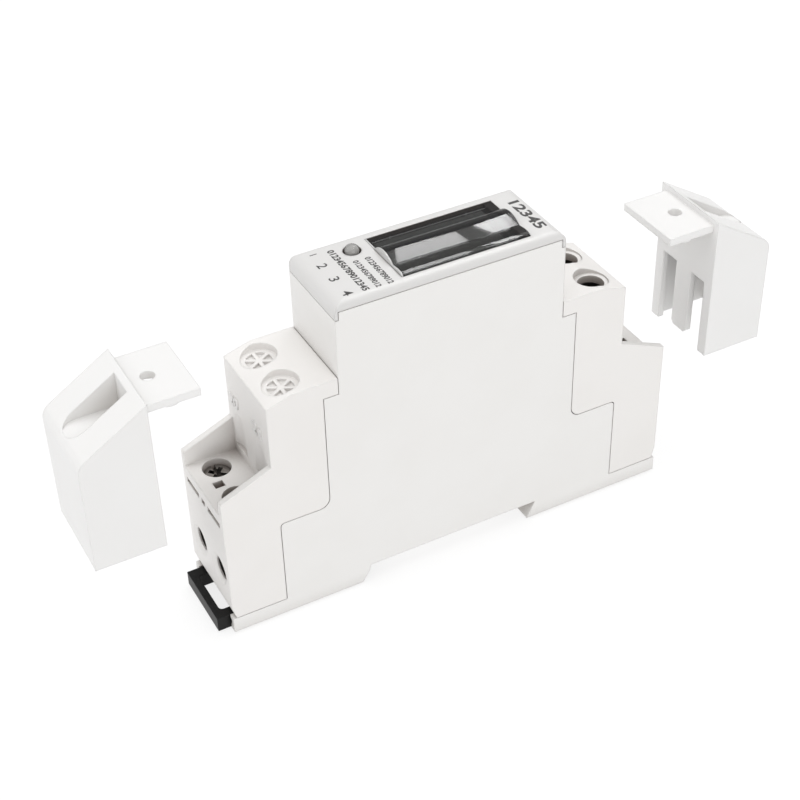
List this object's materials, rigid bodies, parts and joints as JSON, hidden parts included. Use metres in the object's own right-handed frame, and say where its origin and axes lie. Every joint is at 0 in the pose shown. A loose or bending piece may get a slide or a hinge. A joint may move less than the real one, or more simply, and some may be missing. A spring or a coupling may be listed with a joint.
{
  "type": "din rail energy meter",
  "caption": "One-module energy meter for a 35 mm rail, with a smoked display window, screw terminals, a rail clip and two end covers shown taken off.",
  "frame": {"origin": "middle of the rail face of the housing", "axes": "+X along the housing to the pulse output end, +Y across the module, +Z out to the front with the display"},
  "size_m": [0.138, 0.0176, 0.0653],
  "materials": {
    "housing_plastic": "fine spark texture",
    "block_plastic": "fine spark texture",
    "cap_plastic": "smooth satin",
    "clip_plastic": "satin",
    "smoked_window": "polished, smoked, clear",
    "light_dome": "polished, milky",
    "screw_steel": "plated",
    "cage_steel": "plated",
    "bar_metal": "tinned copper",
    "shunt_metal": "rolled",
    "board": "solder mask",
    "panel_glass": "polished",
    "light_box": "smooth",
    "capacitor_case": "smooth",
    "capacitor_sleeve": "shrink sleeve",
    "varistor_coat": "dipped coat",
    "chip_body": "moulded",
    "coupler_body": "moulded"
  },
  "bodies": {
    "housing": {"main_case": "housing_plastic", "front_cap": "cap_plastic", "display_window": "smoked_window", "pulse_light": "light_dome", "left_terminal_block": "block_plastic", "right_terminal_block": "block_plastic", "neutral_bar": "bar_metal", "live_bar_in": "bar_metal", "live_shunt": "shunt_metal", "live_bar_out": "bar_metal", "pulse_contacts": "bar_metal", "main_board": "board", "display_board": "board", "display_panel": "panel_glass", "panel_light_box": "light_box", "film_capacitor": "capacitor_case", "smoothing_capacitor": "capacitor_sleeve", "varistor": "varistor_coat", "meter_chip": "chip_body", "pulse_coupler": "coupler_body", "board_header": "chip_body"},
    "left_cover": {"left_cover": "cap_plastic"},
    "right_cover": {"right_cover": "cap_plastic"},
    "rail_clip": {"rail_clip": "clip_plastic"},
    "left_far_screw": {"left_far_screw": "screw_steel"},
    "left_far_cage": {"left_far_cage": "cage_steel"},
    "left_near_screw": {"left_near_screw": "screw_steel"},
    "left_near_cage": {"left_near_cage": "cage_steel"},
    "right_far_screw": {"right_far_screw": "screw_steel"},
    "right_far_cage": {"right_far_cage": "cage_steel"},
    "right_near_screw": {"right_near_screw": "screw_steel"},
    "right_near_cage": {"right_near_cage": "cage_steel"},
    "pulse_far_screw": {"pulse_far_screw": "screw_steel"},
    "pulse_far_cage": {"pulse_far_cage": "cage_steel"},
    "pulse_near_screw": {"pulse_near_screw": "screw_steel"},
    "pulse_near_cage": {"pulse_near_cage": "cage_steel"}
  },
  "joints": [
    {"name": "left_cover_off", "type": "slide", "parent": "housing", "child": "left_cover", "axis": [0.3987, 0, -0.9171], "range_m": [0, 0.02508]},
    {"name": "right_cover_off", "type": "slide", "parent": "housing", "child": "right_cover", "axis": [-0.4233, 0, -0.906], "range_m": [0, 0.02362]},
    {"name": "rail_clip_pull", "type": "slide", "parent": "housing", "child": "rail_clip", "axis": [-1, 0, 0], "range_m": [0, 0.0025], "stiffness_N_per_m": 1500, "springref_m": -0.001},
    {"name": "left_far_cage_lift", "type": "slide", "parent": "housing", "child": "left_far_cage", "axis": [0, 0, 1], "range_m": [0, 0.0042]},
    {"name": "left_far_screw_turn", "type": "hinge", "parent": "housing", "child": "left_far_screw", "pos_m": [-0.0412, 0.0044, 0.024], "axis": [0, 0, -1], "range_deg": [0, 2161]},
    {"name": "left_near_cage_lift", "type": "slide", "parent": "housing", "child": "left_near_cage", "axis": [0, 0, 1], "range_m": [0, 0.0042]},
    {"name": "left_near_screw_turn", "type": "hinge", "parent": "housing", "child": "left_near_screw", "pos_m": [-0.0412, -0.0044, 0.024], "axis": [0, 0, -1], "range_deg": [0, 2161]},
    {"name": "right_far_cage_lift", "type": "slide", "parent": "housing", "child": "right_far_cage", "axis": [0, 0, 1], "range_m": [0, 0.0042]},
    {"name": "right_far_screw_turn", "type": "hinge", "parent": "housing", "child": "right_far_screw", "pos_m": [0.0412, 0.0044, 0.024], "axis": [0, 0, -1], "range_deg": [0, 2161]},
    {"name": "right_near_cage_lift", "type": "slide", "parent": "housing", "child": "right_near_cage", "axis": [0, 0, 1], "range_m": [0, 0.0042]},
    {"name": "right_near_screw_turn", "type": "hinge", "parent": "housing", "child": "right_near_screw", "pos_m": [0.0412, -0.0044, 0.024], "axis": [0, 0, -1], "range_deg": [0, 2161]},
    {"name": "pulse_far_cage_lift", "type": "slide", "parent": "housing", "child": "pulse_far_cage", "axis": [0, 0, 1], "range_m": [0, 0.0018]},
    {"name": "pulse_far_screw_turn", "type": "hinge", "parent": "housing", "child": "pulse_far_screw", "pos_m": [0.0313, 0.0044, 0.0422], "axis": [0, 0, -1], "range_deg": [0, 1297]},
    {"name": "pulse_near_cage_lift", "type": "slide", "parent": "housing", "child": "pulse_near_cage", "axis": [0, 0, 1], "range_m": [0, 0.0018]},
    {"name": "pulse_near_screw_turn", "type": "hinge", "parent": "housing", "child": "pulse_near_screw", "pos_m": [0.0313, -0.0044, 0.0422], "axis": [0, 0, -1], "range_deg": [0, 1297]}
  ],
  "couplings": [
    {"joint": "left_far_screw_turn", "follows": "left_far_cage_lift", "rad_per_m": 8976},
    {"joint": "left_near_screw_turn", "follows": "left_near_cage_lift", "rad_per_m": 8976},
    {"joint": "right_far_screw_turn", "follows": "right_far_cage_lift", "rad_per_m": 8976},
    {"joint": "right_near_screw_turn", "follows": "right_near_cage_lift", "rad_per_m": 8976},
    {"joint": "pulse_far_screw_turn", "follows": "pulse_far_cage_lift", "rad_per_m": 12566},
    {"joint": "pulse_near_screw_turn", "follows": "pulse_near_cage_lift", "rad_per_m": 12566}
  ]
}
